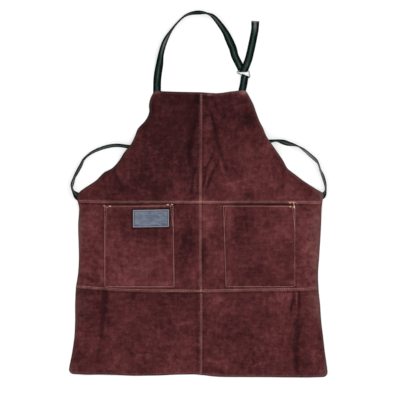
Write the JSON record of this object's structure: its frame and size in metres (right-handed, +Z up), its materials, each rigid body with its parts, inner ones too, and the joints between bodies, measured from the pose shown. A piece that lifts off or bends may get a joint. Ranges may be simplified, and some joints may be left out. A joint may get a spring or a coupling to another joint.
{
  "type": "leather work apron",
  "caption": "Suede leather work apron lying flat: tapered bib, lapped panels, open patch pockets, neck strap folded through a wire ring, and webbing waist ties.",
  "frame": {"origin": "centre of the bounding box, on the surface that the apron lies on", "axes": "+X to the right as the outer face is seen, +Y from the hem towards the bib, +Z up out of the outer face"},
  "size_m": [0.6853, 0.9717, 0.0198],
  "materials": {
    "suede": "matte",
    "webbing": "matte",
    "ring_steel": "satin",
    "label_cloth": "matte",
    "thread": "matte"
  },
  "bodies": {
    "root": {"bib_left": "suede", "bib_right": "suede", "middle_left": "suede", "middle_right": "suede", "lower_left": "suede", "lower_right": "suede", "pocket_left": "suede", "pocket_right": "suede", "label": "label_cloth", "neck_strap": "webbing", "ring_loop": "webbing", "strap_ring": "ring_steel", "waist_tie_left": "webbing", "waist_tie_right": "webbing"}
  },
  "joints": []
}
